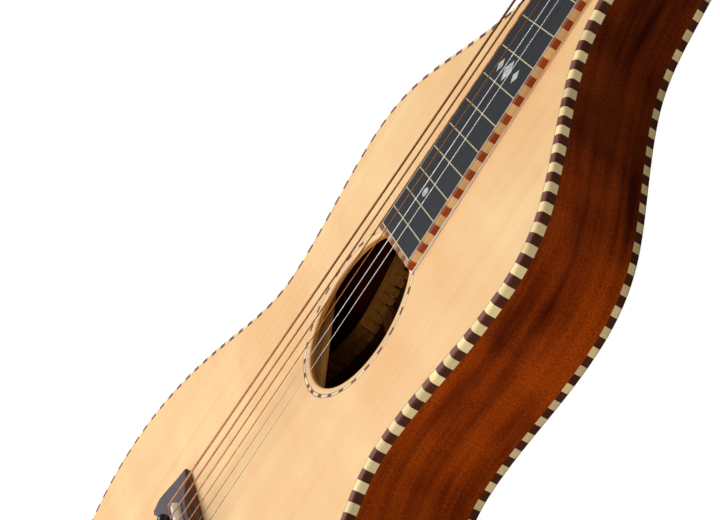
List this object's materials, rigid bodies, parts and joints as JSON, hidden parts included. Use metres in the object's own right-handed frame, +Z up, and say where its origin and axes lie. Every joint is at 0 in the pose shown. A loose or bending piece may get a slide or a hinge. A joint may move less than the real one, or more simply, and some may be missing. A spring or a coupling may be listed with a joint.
{
  "type": "lap steel guitar",
  "caption": "Acoustic lap steel guitar with a hollow neck, rope binding, raised strings, bat-wing pin bridge and worm tuners.",
  "frame": {"origin": "middle of the bottom of the instrument, on the plane of its flat back", "axes": "+X from the head to the tail, +Y to the treble side, +Z up from the flat back; the soundboard rises 3.2 degrees toward the tail"},
  "size_m": [1.0121, 0.3988, 0.1009],
  "materials": {
    "spruce": "gloss",
    "brace_spruce": "matte",
    "mahogany": "gloss",
    "inner_mahogany": "matte",
    "rope_binding": "satin",
    "ebony": "satin",
    "rosewood": "satin",
    "bone": "satin",
    "black_plastic": "gloss",
    "nickel": "polished",
    "bronze_wire": "wound",
    "steel_wire": "polished",
    "cream_button": "gloss"
  },
  "bodies": {
    "guitar": {"soundboard": "spruce", "top_lining": "brace_spruce", "back_lining": "brace_spruce", "x_brace_a": "brace_spruce", "x_brace_b": "brace_spruce", "upper_transverse_brace": "brace_spruce", "tone_bar_1": "brace_spruce", "tone_bar_2": "brace_spruce", "back_brace_1": "brace_spruce", "back_brace_2": "brace_spruce", "back_brace_3": "brace_spruce", "back_plate": "mahogany", "side_bass": "mahogany", "side_treble": "mahogany", "headstock": "mahogany", "neck_block": "inner_mahogany", "tail_block": "inner_mahogany", "bridge_plate": "inner_mahogany", "top_binding": "rope_binding", "back_binding": "rope_binding", "fingerboard_binding": "rope_binding", "soundhole_purfling": "rope_binding", "fingerboard": "ebony", "bridge": "rosewood", "headstock_faceplate": "rosewood", "nut": "bone", "saddle": "bone", "end_pin": "black_plastic", "bridge_pin_1": "black_plastic", "bridge_pin_2": "black_plastic", "bridge_pin_3": "black_plastic", "bridge_pin_4": "black_plastic", "bridge_pin_5": "black_plastic", "bridge_pin_6": "black_plastic", "string_1": "bronze_wire", "string_2": "bronze_wire", "string_3": "bronze_wire", "string_4": "bronze_wire", "string_5": "steel_wire", "string_6": "steel_wire", "tuner_plate_bass": "nickel", "tuner_plate_treble": "nickel"},
    "worm_bass_1": {"tuner_worm_bass_1": "nickel", "tuner_button_bass_1": "cream_button"},
    "post_bass_1": {"tuner_post_bass_1": "nickel"},
    "worm_bass_2": {"tuner_worm_bass_2": "nickel", "tuner_button_bass_2": "cream_button"},
    "post_bass_2": {"tuner_post_bass_2": "nickel"},
    "worm_bass_3": {"tuner_worm_bass_3": "nickel", "tuner_button_bass_3": "cream_button"},
    "post_bass_3": {"tuner_post_bass_3": "nickel"},
    "worm_treble_1": {"tuner_worm_treble_1": "nickel", "tuner_button_treble_1": "cream_button"},
    "post_treble_1": {"tuner_post_treble_1": "nickel"},
    "worm_treble_2": {"tuner_worm_treble_2": "nickel", "tuner_button_treble_2": "cream_button"},
    "post_treble_2": {"tuner_post_treble_2": "nickel"},
    "worm_treble_3": {"tuner_worm_treble_3": "nickel", "tuner_button_treble_3": "cream_button"},
    "post_treble_3": {"tuner_post_treble_3": "nickel"}
  },
  "joints": [
    {"name": "button_turn_bass_1", "type": "hinge", "parent": "guitar", "child": "worm_bass_1", "pos_m": [-0.39907, -0.02, 0.01874], "axis": [0, -1, 0], "continuous": true},
    {"name": "post_turn_bass_1", "type": "hinge", "parent": "guitar", "child": "post_bass_1", "pos_m": [-0.39251, -0.02, 0.03738], "axis": [-0.1339, 0, 0.991], "continuous": true},
    {"name": "button_turn_bass_2", "type": "hinge", "parent": "guitar", "child": "worm_bass_2", "pos_m": [-0.43573, -0.02, 0.01378], "axis": [0, -1, 0], "continuous": true},
    {"name": "post_turn_bass_2", "type": "hinge", "parent": "guitar", "child": "post_bass_2", "pos_m": [-0.42917, -0.02, 0.03243], "axis": [-0.1339, 0, 0.991], "continuous": true},
    {"name": "button_turn_bass_3", "type": "hinge", "parent": "guitar", "child": "worm_bass_3", "pos_m": [-0.4724, -0.02, 0.00883], "axis": [0, -1, 0], "continuous": true},
    {"name": "post_turn_bass_3", "type": "hinge", "parent": "guitar", "child": "post_bass_3", "pos_m": [-0.46584, -0.02, 0.02748], "axis": [-0.1339, 0, 0.991], "continuous": true},
    {"name": "button_turn_treble_1", "type": "hinge", "parent": "guitar", "child": "worm_treble_1", "pos_m": [-0.39907, 0.02, 0.01874], "axis": [0, 1, 0], "continuous": true},
    {"name": "post_turn_treble_1", "type": "hinge", "parent": "guitar", "child": "post_treble_1", "pos_m": [-0.39251, 0.02, 0.03738], "axis": [-0.1339, 0, 0.991], "continuous": true},
    {"name": "button_turn_treble_2", "type": "hinge", "parent": "guitar", "child": "worm_treble_2", "pos_m": [-0.43573, 0.02, 0.01378], "axis": [0, 1, 0], "continuous": true},
    {"name": "post_turn_treble_2", "type": "hinge", "parent": "guitar", "child": "post_treble_2", "pos_m": [-0.42917, 0.02, 0.03243], "axis": [-0.1339, 0, 0.991], "continuous": true},
    {"name": "button_turn_treble_3", "type": "hinge", "parent": "guitar", "child": "worm_treble_3", "pos_m": [-0.4724, 0.02, 0.00883], "axis": [0, 1, 0], "continuous": true},
    {"name": "post_turn_treble_3", "type": "hinge", "parent": "guitar", "child": "post_treble_3", "pos_m": [-0.46584, 0.02, 0.02748], "axis": [-0.1339, 0, 0.991], "continuous": true}
  ],
  "couplings": [
    {"joint": "post_turn_bass_1", "follows": "button_turn_bass_1", "ratio": -0.071429},
    {"joint": "post_turn_bass_2", "follows": "button_turn_bass_2", "ratio": -0.071429},
    {"joint": "post_turn_bass_3", "follows": "button_turn_bass_3", "ratio": -0.071429},
    {"joint": "post_turn_treble_1", "follows": "button_turn_treble_1", "ratio": 0.071429},
    {"joint": "post_turn_treble_2", "follows": "button_turn_treble_2", "ratio": 0.071429},
    {"joint": "post_turn_treble_3", "follows": "button_turn_treble_3", "ratio": 0.071429}
  ]
}
